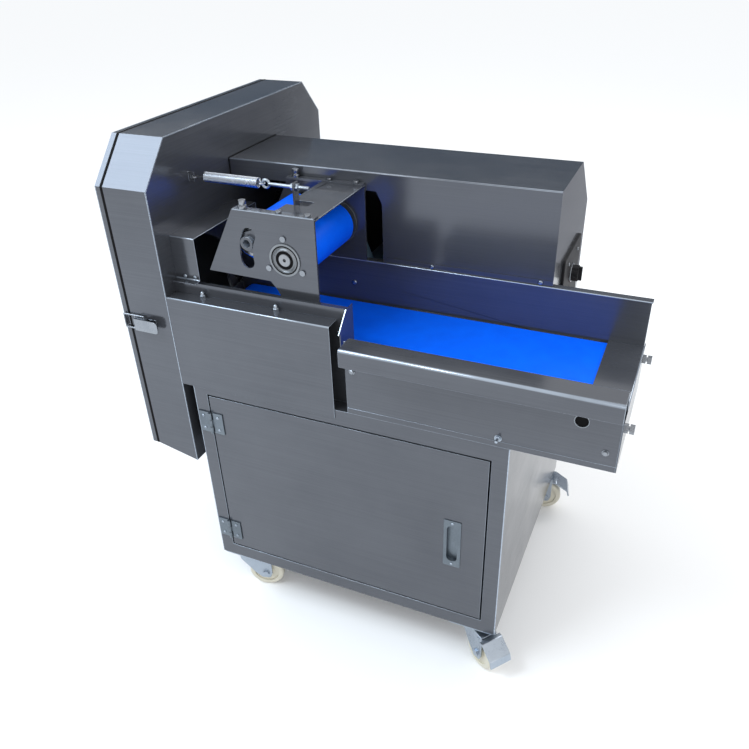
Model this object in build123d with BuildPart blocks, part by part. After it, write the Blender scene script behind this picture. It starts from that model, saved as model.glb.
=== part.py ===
from build123d import *
from math import cos, hypot, radians, sin, sqrt
import os

# A mobile vegetable cutting machine: a sheet steel cabinet on casters carries a feed trough with a
# belt, a sprung press belt above it, and a tall knife housing at the left end of the trough.
# +X runs from the knife housing to the feed end, -Y is the door side and +Z is up, in millimetres.
# The origin is on the floor, in the middle of the machine's outer box.

# Sheet stock and general clearances
sheet = 1.5
running_gap = 0.05
belt_gap = 0.3
part_gap = 1.0
bend_radius = 2.5

# Casters
caster_height = 100.0
caster_inset_x = 47.0
caster_inset_y = 33.0
caster_plate_length = 92.0
caster_plate_width = 64.0
caster_plate_thickness = 3.0
caster_plate_corner = 6.0
caster_bolt_spacing_x = 72.0
caster_bolt_spacing_y = 46.0
caster_bolt_radius = 4.25
race_height = 7.0
race_radius = 22.0
kingpin_radius = 6.0
kingpin_head = 4.0
caster_trail = 32.0
wheel_radius = 37.5
wheel_width = 26.0
wheel_bore = 6.0
wheel_hub = 8.0
wheel_tread = 11.0
wheel_side_gap = 1.5
fork_sheet = 3.0
fork_back = 22.0
axle_nut = 8.0
axle_nut_height = 4.0
pedal_width = 46.0
pedal_sheet = 3.0
pedal_pivot_reach = 36.0
pedal_pivot_drop = 8.0
pedal_pin = 2.5
pedal_travel = 18.0
brake_gap = 0.25
caster_angles = {"front_left": 16.0, "front_right": -38.0, "rear_right": 13.0, "rear_left": 150.0}
braked_casters = ("front_right", "rear_right")

# Cabinet and its door
cabinet_width = 600.0
cabinet_depth = 540.0
cabinet_height = 438.0
cabinet_flange = 22.0
door_margin_side = 28.0
door_margin_bottom = 29.0
door_margin_top = 31.0
door_gap = 3.0
door_depth = 18.0
hinge_leaf_height = 46.0
hinge_leaf_width = 26.0
hinge_thickness = 2.5
hinge_barrel = 3.5
hinge_pin = 1.8
hinge_rise = (52.0, 322.0)
pull_width = 32.0
pull_height = 108.0
pull_depth = 9.0
pull_from_edge = 58.0
pull_rise = 175.0
gland_radius = 12.0
gland_bore = 6.0
gland_length = 34.0
gland_rise = 70.0
gland_from_side = 90.0

# Knife housing and its lid
housing_gap = 22.0
housing_width = 88.0
housing_proud = 2.0
housing_overhang = 66.0
housing_rise = 416.5
housing_drop = 198.0
housing_drop_extra = 21.0
chamfer_down = 71.0
chamfer_in = 66.0
housing_rim = 14.0
seal_thickness = 2.0
lid_depth = 13.5
lid_hinge_radius = 6.0
lid_hinge_length = 60.0
lid_hinge_rise = (90.0, 430.0)
latch_rise = 100.0
latch_height = 22.0
latch_length = 58.0

# Feed trough, belt height and rail
trough_width = 234.0
trough_overhang = 161.0
trough_setback = 27.0
trough_start = 318.0
belt_rise = 91.0
wall_rise = 83.0
strip_rise = 7.0
lip_depth = 16.0
rail_overhang = 46.0
rail_inner = -4.0
rail_rise = 58.0
rail_skirt = 31.0
rail_bend = 5.0
rail_start = 330.0
guard_length = 316.0
guard_drop = 14.0
guard_height = 177.0
guide_end = 311.0
ledge_depth = 24.0
shelf_length = 60.0
access_hole_radius = 10.0
access_hole_from_end = 59.0

# Lower belt
belt_thickness = 2.0
roller_radius = 24.0
roller_shaft = 9.0
belt_from_setback = 9.0
belt_from_wall = 6.0
drive_roller_from_left = 12.0
tail_roller_from_end = 43.0
take_up_length = 34.0
take_up_height = 26.0
tension_bolt_radius = 4.0
tension_bolt_reach = 14.0
tension_nut = 6.5
tension_nut_height = 5.0

# Press belt above the trough
press_x = 198.0
press_rise = 151.5
press_plate_front = 44.0
press_plate_thickness = 4.0
press_plate_right = 58.5
press_plate_left = 152.0
press_plate_top = 76.0
press_flange = 15.0
press_shoulder = 61.0
foot_width = 72.0
nip_reach = 72.8
nip_angle = 15.1
entry_radius = 37.0
nip_radius = 27.0
nip_pin_radius = 11.5
nip_pin_bore = 7.0
slot_clearance = 1.0
swing_up = 13.0
swing_down = 25.0
arm_thickness = 4.0
bearing_radius = 28.0
bearing_flange_radius = 41.0
bearing_bolt_circle = 36.0
bearing_bolt_radius = 2.5
entry_shaft = 10.0
top_plate_thickness = 2.5
tab_height = 100.0
tab_width = 16.0
tab_y = 115.0
spring_radius = 9.0
spring_length = 105.0
tab_thickness = 3.0
eyebolt_radius = 3.0
eye_reach = 66.0
eye_radius = 6.5
eye_wire = 2.2
eye_nut = 5.5
eye_nut_height = 5.0
stop_screw_radius = 4.0

# Throat hood
hood_length = 50.0
hood_front = 35.0
hood_rise = 168.5
hood_flange = 15.0

# Knife rotor and its drive
knife_y = 312.0
knife_rise = 124.0
knife_radius = 272.0
knife_root = 60.0
knife_root_half = 21.0
knife_sweep = 60.0
knife_edge_radius = 390.0
knife_back_radius = 335.0
knife_hub_radius = 105.0
knife_count = 3
blade_thickness = 3.0
blade_gap = 8.0
disc_thickness = 8.0
knife_shaft_radius = 17.5
knife_bearing_radius = 40.0
knife_bearing_length = 82.0
knife_bearing_flange = 56.0
knife_bearing_foot = 38.0
knife_bearing_neck = 24.0
knife_first_angle = 20.0
knife_arm_width = 46.0
knife_arm_reach = 180.0
pulley_x = 112.0
pulley_width = 28.0
knife_pulley_radius = 38.0
motor_pulley_radius = 30.0
v_belt_depth = 6.0
motor_shaft_radius = 12.0
motor_radius = 72.0
motor_length = 210.0
motor_shaft_height = 100.0
motor_fins = 16
motor_foot_spacing = 124.0
motor_foot_width = 44.0
motor_foot_height = 10.0
motor_web = 20.0
terminal_box_length = 80.0
terminal_box_width = 68.0
terminal_box_height = 30.0

# Motor box, gear case and controls
box_front = 239.0
box_length = 598.0
box_rise = 337.0
box_back = 517.0
box_slope_in = 103.0
box_slope_down = 100.0
cutout_right = 287.0
cutout_height = 130.0
cutout_corner = 22.0
gear_case_thickness = 15.0
gear_motor_x = 240.0
gear_motor_rise = 92.0
gear_motor_radius = 52.0
gear_motor_length = 210.0
gear_case_boss = 24.0
gear_case_body = 44.0
gear_case_foot = 80.0
panel_from_front = 149.0
panel_rise = 130.0
panel_width = 150.0
panel_height = 120.0
panel_depth = 5.0
panel_corner = 6.0
control_stem = 7.0
knob_rise = 9.0
knob_radius = 15.0
knob_length = 20.0
knob_grip = 6.0
button_drop = 38.0
button_radius = 16.0
button_height = 10.0
button_travel = 4.0

# Outer reach on each side, which puts the origin in the middle of the outer box
reach_left = housing_gap + housing_width + seal_thickness + lid_depth
reach_right = cabinet_width + trough_overhang + tension_bolt_reach
reach_front = rail_overhang
reach_back = cabinet_depth + housing_overhang + 2 * lid_hinge_radius + belt_gap
left = (reach_left - reach_right) / 2
front = (reach_front - reach_back) / 2

# Main planes, worked out from the sizes above
cabinet_right = left + cabinet_width
cabinet_back = front + cabinet_depth
cabinet_bottom = caster_height
cabinet_top = cabinet_bottom + cabinet_height
housing_right = left - housing_gap
housing_left = housing_right - housing_width
housing_front = front - housing_proud
housing_back = cabinet_back + housing_overhang
housing_top = cabinet_top + housing_rise
housing_low = cabinet_top - housing_drop
lid_inner = housing_left - seal_thickness
lid_outer = lid_inner - lid_depth
trough_end = cabinet_right + trough_overhang
trough_back = front + trough_width
strip_front = front + trough_setback
belt_top = cabinet_top + belt_rise
side_top = belt_top + wall_rise
strip_top = side_top + strip_rise
rail_top = belt_top + rail_rise
guard_top = side_top - guard_drop
roller_z = belt_top - belt_thickness - belt_gap - roller_radius
belt_front = strip_front + belt_from_setback
belt_back = trough_back - belt_from_wall
bed_top = belt_top - belt_thickness - running_gap
drive_x = left + drive_roller_from_left
tail_x = trough_end - tail_roller_from_end
shelf_top = belt_top + sheet + part_gap
entry_x = left + press_x
entry_z = belt_top + press_rise
plate_front = front + press_plate_front
plate_back = trough_back
plate_top = entry_z + press_plate_top
nip_x = entry_x - nip_reach * cos(radians(nip_angle))
nip_z = entry_z + nip_reach * sin(radians(nip_angle))
knife_axis_y = front + knife_y
knife_axis_z = cabinet_top + knife_rise
box_front_y = front + box_front
box_back_y = front + box_back
box_right = left + box_length
box_top = cabinet_top + box_rise
motor_z = cabinet_bottom + sheet + motor_shaft_height
gear_motor_z = cabinet_top + gear_motor_rise

os.makedirs("parts", exist_ok=True)


def save(piece, name):
    """Labels a finished piece and writes it as one STEP file."""
    piece.part.label = name
    export_step(piece.part, "parts/" + name + ".step")


def span(x0, x1, y0, y1, z0, z1, mode=Mode.ADD):
    """Adds a box between two corners to the part being built."""
    with Locations(((x0 + x1) / 2, (y0 + y1) / 2, (z0 + z1) / 2)):
        Box(x1 - x0, y1 - y0, z1 - z0, mode=mode)


def rod(axis, centre, radius, start, end, mode=Mode.ADD):
    """Adds a cylinder along X, Y or Z from start to end; centre gives the other two coordinates."""
    middle = (start + end) / 2
    if axis == "X":
        place = Location((middle, centre[0], centre[1]), (0, 90, 0))
    elif axis == "Y":
        place = Location((centre[0], middle, centre[1]), (90, 0, 0))
    else:
        place = Location((centre[0], centre[1], middle))
    with Locations(place):
        Cylinder(radius, abs(end - start), mode=mode)


def bore(axis, centre, radius, start, end):
    """Cuts a round hole along X, Y or Z."""
    rod(axis, centre, radius, start, end, Mode.SUBTRACT)


def outline(plane, points):
    """Returns a closed polygon as a sketch on the given plane."""
    with BuildSketch(plane) as sketch:
        with BuildLine():
            Polyline(*points, close=True)
        make_face()
    return sketch.sketch


def folded(plane, points, radius=bend_radius):
    """Returns the section of a folded sheet: a line of points with rounded bends and the metal on its right."""
    with BuildSketch(plane) as sketch:
        with BuildLine():
            FilletPolyline(*points, radius=radius)
            offset(amount=sheet, side=Side.RIGHT)
        make_face()
    return sketch.sketch


def wall_plane(y):
    """The upright plane at a given y, with X across and Z up; a positive extrusion goes towards -Y."""
    return Plane.XZ.offset(-y)


def hull(plane, circles):
    """Returns the hull of some circles, each ((across, up), radius), as a sketch on the given plane."""
    with BuildSketch(plane) as sketch:
        for centre, radius in circles:
            with Locations(centre):
                Circle(radius)
        make_hull()
    return sketch.sketch


# Cabinet: one folded shell with a door opening, a floor for the motor and a slot for the drive belt
belt_slot = knife_pulley_radius + v_belt_depth + 10
gland_at = (cabinet_right - gland_from_side, cabinet_bottom + gland_rise)
gland_neck = gland_radius * 0.8
with BuildPart() as cabinet:
    span(left, cabinet_right, front, cabinet_back, cabinet_bottom, cabinet_top)
    span(left + sheet, cabinet_right - sheet, front + sheet, cabinet_back - sheet,
         cabinet_bottom + sheet, cabinet_top - sheet, Mode.SUBTRACT)
    door_left = left + door_margin_side
    door_right = cabinet_right - door_margin_side
    door_bottom = cabinet_bottom + door_margin_bottom
    door_top = cabinet_top - door_margin_top
    span(door_left - sheet, door_right + sheet, front + sheet, front + cabinet_flange,
         door_bottom - sheet, door_top + sheet)
    span(door_left, door_right, front - 1, front + cabinet_flange + 1, door_bottom, door_top, Mode.SUBTRACT)
    span(left + pulley_x - pulley_width, left + pulley_x + pulley_width, knife_axis_y - belt_slot,
         knife_axis_y + belt_slot, cabinet_top - 2 * sheet, cabinet_top + sheet, Mode.SUBTRACT)
    bore("Y", gland_at, gland_neck + running_gap, cabinet_back - 2 * sheet, cabinet_back + sheet)
    for corner_x in (left + caster_inset_x, cabinet_right - caster_inset_x):
        for corner_y in (front + caster_inset_y, cabinet_back - caster_inset_y):
            with Locations((corner_x, corner_y, cabinet_bottom)):
                with GridLocations(caster_bolt_spacing_x, caster_bolt_spacing_y, 2, 2):
                    Cylinder(caster_bolt_radius, 4 * sheet, mode=Mode.SUBTRACT)
save(cabinet, "cabinet_shell")

# Door: a shallow pan that sits flush in the opening, with a hole for the recessed pull
pull_x = door_right - door_gap - pull_from_edge
pull_z = door_bottom + pull_rise
with BuildPart() as door:
    span(door_left + door_gap, door_right - door_gap, front, front + door_depth,
         door_bottom + door_gap, door_top - door_gap)
    span(door_left + door_gap + sheet, door_right - door_gap - sheet, front + sheet, front + door_depth + 1,
         door_bottom + door_gap + sheet, door_top - door_gap - sheet, Mode.SUBTRACT)
    span(pull_x - pull_width / 2 + 3, pull_x + pull_width / 2 - 3, front - 1, front + 2 * sheet,
         pull_z - pull_height / 2 + 3, pull_z + pull_height / 2 - 3, Mode.SUBTRACT)
save(door, "cabinet_door")

# Flush pull: a thin frame with a deep round-ended cup
with BuildPart() as pull:
    with BuildSketch(Plane.XZ.offset(-front)):
        with Locations((pull_x, pull_z)):
            RectangleRounded(pull_width, pull_height, 2)
    extrude(amount=sheet)
    with BuildSketch(Plane.XZ.offset(-front)):
        with Locations((pull_x, pull_z)):
            RectangleRounded(pull_width - 6.6, pull_height - 6.6, 6)
    extrude(amount=-pull_depth)
    with BuildSketch(Plane.XZ.offset(-front + sheet)):
        with Locations((pull_x, pull_z)):
            SlotOverall(pull_height - 24, pull_width - 12, rotation=90)
    extrude(amount=-pull_depth, mode=Mode.SUBTRACT)
save(pull, "door_pull")

# Door hinges: a leaf with its barrel ends and pin on the cabinet, a leaf with the middle barrel on the door
hinge_x = door_left + door_gap / 2
hinge_y = front - hinge_barrel
with BuildPart() as cabinet_leaves:
    for rise in hinge_rise:
        low = cabinet_bottom + rise
        third = hinge_leaf_height / 3
        span(hinge_x - hinge_leaf_width, hinge_x - hinge_barrel / 2, front - hinge_thickness, front,
             low, low + hinge_leaf_height)
        rod("Z", (hinge_x, hinge_y), hinge_barrel, low, low + third - belt_gap)
        rod("Z", (hinge_x, hinge_y), hinge_barrel, low + 2 * third + belt_gap, low + hinge_leaf_height)
        rod("Z", (hinge_x, hinge_y), hinge_pin, low, low + hinge_leaf_height)
        span(hinge_x - hinge_barrel - 0.6, hinge_x + hinge_barrel + 0.6, front - hinge_thickness - 0.1,
             front - 0.1 + hinge_thickness, low + third - belt_gap, low + 2 * third + belt_gap, Mode.SUBTRACT)
save(cabinet_leaves, "cabinet_hinge_leaves")

with BuildPart() as door_leaves:
    for rise in hinge_rise:
        low = cabinet_bottom + rise
        third = hinge_leaf_height / 3
        span(hinge_x + hinge_barrel / 2 + door_gap, hinge_x + hinge_leaf_width, front - hinge_thickness, front,
             low, low + hinge_leaf_height)
        span(hinge_x, hinge_x + hinge_leaf_width / 2, front - hinge_thickness, front - sheet / 2,
             low + third + belt_gap, low + 2 * third - belt_gap)
        rod("Z", (hinge_x, hinge_y), hinge_barrel, low + third + belt_gap, low + 2 * third - belt_gap)
        bore("Z", (hinge_x, hinge_y), hinge_pin + running_gap, low - 1, low + hinge_leaf_height + 1)
save(door_leaves, "door_hinge_leaves")

# Cable gland in the rear wall: a nut body on each side of the sheet and a clear bore
with BuildPart() as gland:
    with BuildSketch(Plane.XZ.offset(-cabinet_back)):
        with Locations(gland_at):
            RegularPolygon(gland_radius, 6)
    extrude(amount=-gland_length / 3)
    rod("Y", gland_at, gland_neck, cabinet_back - gland_length / 3, cabinet_back)
    rod("Y", gland_at, gland_radius * 0.85, cabinet_back + gland_length / 3, cabinet_back + gland_length * 2 / 3)
    bore("Y", gland_at, gland_bore, cabinet_back - gland_length, cabinet_back + gland_length)
save(gland, "cable_gland")

# Casters: top plates with the swivel kingpins, then a fork, a wheel and a brake pedal for each
corners = {
    "front_left": (left + caster_inset_x, front + caster_inset_y),
    "front_right": (cabinet_right - caster_inset_x, front + caster_inset_y),
    "rear_right": (cabinet_right - caster_inset_x, cabinet_back - caster_inset_y),
    "rear_left": (left + caster_inset_x, cabinet_back - caster_inset_y),
}
plate_low = caster_height - caster_plate_thickness
fork_top = plate_low - race_height
fork_under = fork_top - fork_sheet
with BuildPart() as caster_plates:
    for corner in corners.values():
        with BuildSketch(Plane.XY.offset(plate_low)):
            with Locations(corner):
                RectangleRounded(caster_plate_length, caster_plate_width, caster_plate_corner)
                with GridLocations(caster_bolt_spacing_x, caster_bolt_spacing_y, 2, 2):
                    Circle(caster_bolt_radius, mode=Mode.SUBTRACT)
        extrude(amount=caster_plate_thickness)
        rod("Z", corner, race_radius, fork_top + part_gap, plate_low)
        rod("Z", corner, kingpin_radius, fork_under - kingpin_head, plate_low)
        rod("Z", corner, kingpin_radius + 4, fork_under - kingpin_head, fork_under - belt_gap)
save(caster_plates, "caster_plates")

# The brake pad's curve is the wheel's own circle, seen from the pedal when the pedal is pressed right down
axle = (caster_trail, wheel_radius)
pedal_pivot = (pedal_pivot_reach, fork_top - pedal_pivot_drop)
to_axle = (axle[0] - pedal_pivot[0], axle[1] - pedal_pivot[1])
pressed_cos = cos(radians(pedal_travel))
pressed_sin = sin(radians(pedal_travel))
pressed_axle = (pedal_pivot[0] + to_axle[0] * pressed_cos - to_axle[1] * pressed_sin,
                pedal_pivot[1] + to_axle[0] * pressed_sin + to_axle[1] * pressed_cos)
inner_half = wheel_width / 2 + wheel_side_gap
outer_half = inner_half + fork_sheet
fork_front = caster_trail + 14
pad_half = inner_half - part_gap
pad_top = fork_under - 2
pedal_start = fork_front + 2
pedal_line = [
    (pedal_start, pad_top + 1), (pedal_start + 8, pad_top + 1),
    (pedal_start + 36, pad_top - 20), (pedal_start + 40, pad_top - 34),
]
fork_side = [
    (-fork_back, fork_top), (fork_front, fork_top), (fork_front, wheel_radius), (fork_front - 5, wheel_radius - 13),
    (caster_trail - 9, wheel_radius - 13), (caster_trail - 23, wheel_radius), (-fork_back + 2, fork_top - 14),
]
for name, corner in corners.items():
    turn = radians(caster_angles[name])
    along = (cos(turn), sin(turn), 0)
    upright = Plane(origin=(corner[0], corner[1], 0), x_dir=along, z_dir=(sin(turn), -cos(turn), 0))
    flat = Plane(origin=(corner[0], corner[1], fork_top), x_dir=along, z_dir=(0, 0, 1))
    with BuildPart() as fork:
        with BuildSketch(upright.offset(-outer_half)):
            with BuildLine():
                Polyline(*fork_side, close=True)
            make_face()
            fillet(vertices().sort_by(Axis.Y)[:2], radius=5)
        extrude(amount=2 * outer_half)
        with BuildSketch(upright.offset(-inner_half)):
            with Locations((caster_trail / 2, fork_under / 2)):
                Rectangle(4 * wheel_radius, fork_under)
        extrude(amount=2 * inner_half, mode=Mode.SUBTRACT)
        with BuildSketch(flat):
            Circle(kingpin_radius + running_gap)
        extrude(amount=-2 * fork_sheet, mode=Mode.SUBTRACT)
        with BuildSketch(upright.offset(-outer_half - axle_nut_height)):
            with Locations(axle):
                Circle(wheel_bore - running_gap)
        extrude(amount=2 * (outer_half + axle_nut_height))
        for side in (-outer_half - axle_nut_height, outer_half):
            with BuildSketch(upright.offset(side)):
                with Locations(axle):
                    RegularPolygon(axle_nut, 6)
            extrude(amount=axle_nut_height)
        if name in braked_casters:
            with BuildSketch(upright.offset(-outer_half - 1)):
                with Locations(pedal_pivot):
                    Circle(pedal_pin + running_gap)
            extrude(amount=2 * outer_half + 2, mode=Mode.SUBTRACT)
    save(fork, "caster_fork_" + name)

    with BuildPart() as wheel:
        with BuildSketch(upright.offset(-wheel_width / 2)):
            with Locations(axle):
                Circle(wheel_radius)
                Circle(wheel_bore, mode=Mode.SUBTRACT)
        extrude(amount=wheel_width)
        fillet(wheel.edges().filter_by(GeomType.CIRCLE).group_by(SortBy.RADIUS)[-1], radius=5)
        for side, way in ((-wheel_width / 2, 3), (wheel_width / 2, -3)):
            with BuildSketch(upright.offset(side)):
                with Locations(axle):
                    Circle(wheel_radius - wheel_tread)
                    Circle(wheel_bore + wheel_hub, mode=Mode.SUBTRACT)
            extrude(amount=way, mode=Mode.SUBTRACT)
    save(wheel, "caster_wheel_" + name)

    if name in braked_casters:
        with BuildPart() as pedal:
            with BuildSketch(upright.offset(-pedal_width / 2)):
                with BuildLine():
                    FilletPolyline(*pedal_line, radius=4)
                    offset(amount=pedal_sheet, side=Side.RIGHT)
                make_face()
            extrude(amount=pedal_width)
            with BuildSketch(upright.offset(-pad_half)):
                with BuildLine():
                    Polyline((pedal_pivot[0] - 4, pad_top), (pedal_pivot[0] - 4, pedal_pivot[1] - 3),
                             (pedal_pivot[0] + 2, wheel_radius * 2 - 2), (pedal_start + 8, wheel_radius * 2 - 4),
                             (pedal_start + 8, pad_top), close=True)
                make_face()
                with Locations(pressed_axle):
                    Circle(wheel_radius + brake_gap, mode=Mode.SUBTRACT)
            extrude(amount=2 * pad_half)
            with BuildSketch(upright.offset(-outer_half - 2)):
                with Locations(pedal_pivot):
                    Circle(pedal_pin)
            extrude(amount=2 * outer_half + 4)
        save(pedal, "brake_pedal_" + name)

# Knife housing: a folded shell, open on the lid side and at the bottom where the cut vegetables fall out
housing_face = [
    (housing_front, housing_low),
    (housing_front, housing_top - chamfer_down),
    (housing_front + chamfer_in, housing_top),
    (housing_back - chamfer_in, housing_top),
    (housing_back, housing_top - chamfer_down),
    (housing_back, housing_low),
]
throat_left = housing_right - sheet
throat_front = front + hood_front + sheet
throat_top = belt_top + hood_rise - sheet
throat_back = trough_back + 2 * sheet
with BuildPart() as housing:
    extrude(outline(Plane.YZ.offset(housing_left), housing_face), amount=housing_width)
    with BuildSketch(Plane.YZ.offset(housing_left - 1)):
        with BuildLine():
            Polyline(*housing_face, close=True)
        make_face()
        offset(amount=-sheet, kind=Kind.INTERSECTION)
    extrude(amount=housing_width + 1 - sheet, mode=Mode.SUBTRACT)
    with BuildSketch(Plane.XZ.offset(-housing_front + 1)):
        with BuildLine():
            Polyline((housing_left - 1, housing_low - 1), (housing_left - 1, housing_low + housing_drop_extra),
                     (housing_right + 1, housing_low), (housing_right + 1, housing_low - 1), close=True)
        make_face()
    extrude(amount=-(housing_back - housing_front + 2), mode=Mode.SUBTRACT)
    span(housing_left + 2 * sheet, housing_right - 2 * sheet, housing_front + 2 * sheet, housing_back - 2 * sheet,
         housing_low - sheet, housing_low + 2 * sheet, Mode.SUBTRACT)
    span(housing_right - 2 * sheet, housing_right + sheet, throat_front, throat_back - sheet,
         belt_top + part_gap, throat_top, Mode.SUBTRACT)
    bore("X", (knife_axis_y, knife_axis_z), knife_shaft_radius + 3, housing_right - 2 * sheet, housing_right + sheet)
    anchor_at = (front + tab_y, entry_z + tab_height - 4)
    span(housing_right, housing_right + 12, anchor_at[0] - sheet, anchor_at[0] + sheet,
         anchor_at[1] - 8, anchor_at[1] + 8)
    bore("Y", (housing_right + 7, anchor_at[1]), 3, anchor_at[0] - 5, anchor_at[0] + 5)
save(housing, "cutter_housing")

# Seal: a thin rubber frame between the housing's edge and the lid
with BuildPart() as seal:
    with BuildSketch(Plane.YZ.offset(lid_inner)):
        with BuildLine():
            Polyline(*housing_face, close=True)
        make_face()
        offset(amount=-housing_rim, kind=Kind.INTERSECTION, mode=Mode.SUBTRACT)
    extrude(amount=seal_thickness)
    span(lid_inner - 1, housing_left + 1, housing_front + housing_rim, housing_back - housing_rim,
         housing_low - 1, housing_low + 2 * housing_rim, Mode.SUBTRACT)
    span(lid_inner - 1, housing_left + 1, housing_front - 1, housing_back + 1,
         housing_low - 1, housing_low + housing_drop_extra, Mode.SUBTRACT)
save(seal, "lid_seal")

# Lid: a pan with a folded edge, its hinge barrels welded to the rear edge
lid_hinge_x = lid_inner - lid_depth / 2
lid_hinge_y = housing_back + lid_hinge_radius + belt_gap
lid_hinge_leaf = 4.0
lid_hinge_pin = 3.0
lid_low = housing_low + housing_drop_extra
wire = 1.4
keeper_half = 9.0
keeper_x = lid_outer + 5
bail_bar_x = keeper_x - wire - belt_gap
bail_y = housing_front - sheet - wire - 2 * belt_gap
lever_y = housing_front - 11.5
lever_half = latch_height / 2 + 0.5
lever_heel = 2.0
latch_z = cabinet_top + latch_rise
latch_left = housing_left + 8
latch_pin = 1.5
latch_pivot_x = latch_left + 10
latch_pivot_y = bail_y - 0.5
bail_pin_x = latch_pivot_x + 14
with BuildPart() as lid:
    extrude(outline(Plane.YZ.offset(lid_outer), housing_face), amount=lid_depth)
    with BuildSketch(Plane.YZ.offset(lid_outer + sheet)):
        with BuildLine():
            Polyline(*housing_face, close=True)
        make_face()
        offset(amount=-sheet, kind=Kind.INTERSECTION)
    extrude(amount=lid_depth, mode=Mode.SUBTRACT)
    span(lid_outer - 1, lid_inner + 1, housing_front - 1, housing_back + 1, housing_low - 1,
         lid_low, Mode.SUBTRACT)
    span(lid_outer, lid_inner, housing_front, housing_back, lid_low, lid_low + sheet)
    for rise in lid_hinge_rise:
        low = lid_low + rise + lid_hinge_length / 2 + belt_gap
        high = lid_low + rise + lid_hinge_length
        span(lid_outer, lid_hinge_x, housing_back, housing_back + lid_hinge_leaf, low, high)
        rod("Z", (lid_hinge_x, lid_hinge_y), lid_hinge_radius, low, high)
        bore("Z", (lid_hinge_x, lid_hinge_y), lid_hinge_pin + running_gap, low - 1, high + 1)
    extrude(outline(Plane.XY.offset(latch_z - keeper_half), [
        (lid_outer + 1, housing_front), (lid_outer + 1, housing_front - sheet),
        (keeper_x, housing_front - sheet), (keeper_x, bail_y - 2 * wire),
        (keeper_x + sheet, bail_y - 2 * wire), (keeper_x + sheet, housing_front - sheet),
        (lid_inner - 1, housing_front - sheet), (lid_inner - 1, housing_front),
    ]), amount=2 * keeper_half)
save(lid, "housing_lid")

with BuildPart() as hinge_posts:
    for rise in lid_hinge_rise:
        low = lid_low + rise
        middle = low + lid_hinge_length / 2
        rod("Z", (lid_hinge_x, lid_hinge_y), lid_hinge_radius, low, middle)
        rod("Z", (lid_hinge_x, lid_hinge_y), lid_hinge_pin, low, low + lid_hinge_length)
        span(lid_hinge_x, housing_left + 30, housing_back + part_gap, housing_back + lid_hinge_leaf, low, middle)
        span(housing_left, housing_left + 30, housing_back, housing_back + lid_hinge_leaf, low, middle)
save(hinge_posts, "lid_hinge_posts")

# Draw latch: a base on the housing, a lever that lies over it, and a wire bail hooked on the lid's keeper
with BuildPart() as latch_base:
    span(latch_left, latch_left + latch_length - 10, housing_front - sheet, housing_front,
         latch_z - latch_height / 2 + 2, latch_z + latch_height / 2 - 2)
    for side in (-1, 1):
        edge = latch_z + side * (latch_height / 2 - 3)
        extrude(outline(Plane.XY.offset(edge - sheet / 2), [
            (latch_pivot_x - 6, housing_front), (latch_pivot_x + 10, housing_front),
            (latch_pivot_x + 3, lever_y + sheet), (latch_pivot_x - 3, lever_y + sheet),
        ]), amount=sheet)
    bore("Z", (latch_pivot_x, latch_pivot_y), latch_pin, latch_z - latch_height, latch_z + latch_height)
save(latch_base, "latch_base")

with BuildPart() as latch_lever:
    span(latch_pivot_x - lever_heel, latch_left + latch_length, lever_y - sheet, lever_y,
         latch_z - lever_half, latch_z + lever_half)
    fillet(latch_lever.edges().filter_by(Axis.Y).group_by(Axis.X)[-1], radius=7)
    for edge in (latch_z - lever_half, latch_z + lever_half - part_gap):
        extrude(outline(Plane.XY.offset(edge), [
            (latch_pivot_x - lever_heel, lever_y - sheet / 2), (latch_pivot_x - lever_heel, latch_pivot_y + sheet),
            (bail_pin_x - 5, latch_pivot_y + sheet), (bail_pin_x - 4, bail_y + lever_heel),
            (bail_pin_x + 6, bail_y + lever_heel), (bail_pin_x + 12, lever_y - sheet / 2),
        ]), amount=part_gap)
    rod("Z", (latch_pivot_x, latch_pivot_y), latch_pin - running_gap, latch_z - lever_half, latch_z + lever_half)
    bore("Z", (bail_pin_x, bail_y), wire + running_gap, latch_z - latch_height, latch_z + latch_height)
save(latch_lever, "latch_lever")

# The bail is one bent wire: two legs beside the lever and a cross bar behind the keeper's hook
with BuildPart() as latch_bail:
    leg = lever_half + wire + belt_gap
    for side in (-1, 1):
        rod("X", (bail_y, latch_z + side * leg), wire, bail_bar_x, bail_pin_x)
        rod("Z", (bail_pin_x, bail_y), wire, latch_z + side * (lever_half - 3), latch_z + side * leg)
    rod("Z", (bail_bar_x, bail_y), wire, latch_z - leg, latch_z + leg)
    for end_x in (bail_bar_x, bail_pin_x):
        for side in (-1, 1):
            with Locations((end_x, bail_y, latch_z + side * leg)):
                Sphere(wire)
save(latch_bail, "latch_bail")

# Trough: floor, rear wall with a folded lip, and the front wall of its free end, which carries the rail
rail_front = front - rail_overhang
rail_fold = front + rail_inner
slope_end = belt_front - part_gap
rail_slope = (rail_top - belt_top - part_gap) / (slope_end - rail_fold)
front_wall_top = rail_top - rail_slope * (front + sheet - rail_fold) - sheet * hypot(1, rail_slope) - running_gap
with BuildPart() as trough:
    span(housing_right, trough_end - sheet, strip_front, trough_back + sheet, cabinet_top, cabinet_top + sheet)
    span(left + trough_start, trough_end - sheet, front, strip_front, cabinet_top, cabinet_top + sheet)
    span(housing_right, trough_end - sheet, trough_back, trough_back + sheet, cabinet_top, side_top)
    span(housing_right, trough_end, trough_back, trough_back + lip_depth, side_top - sheet, side_top)
    span(left + trough_start, trough_end - sheet, front, front + sheet, cabinet_top, front_wall_top)
    bore("Y", (trough_end - access_hole_from_end, belt_top - 11), access_hole_radius, front - 1, front + 3)
    with BuildSketch(Plane.XZ.offset(-trough_back + 1)):
        with Locations((tail_x, roller_z)):
            SlotOverall(take_up_length, 2 * roller_shaft + 2)
    extrude(amount=-4 * sheet, mode=Mode.SUBTRACT)
    bore("Y", (drive_x, roller_z), roller_shaft + 2, trough_back - 1, trough_back + 3)
save(trough, "trough")

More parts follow.
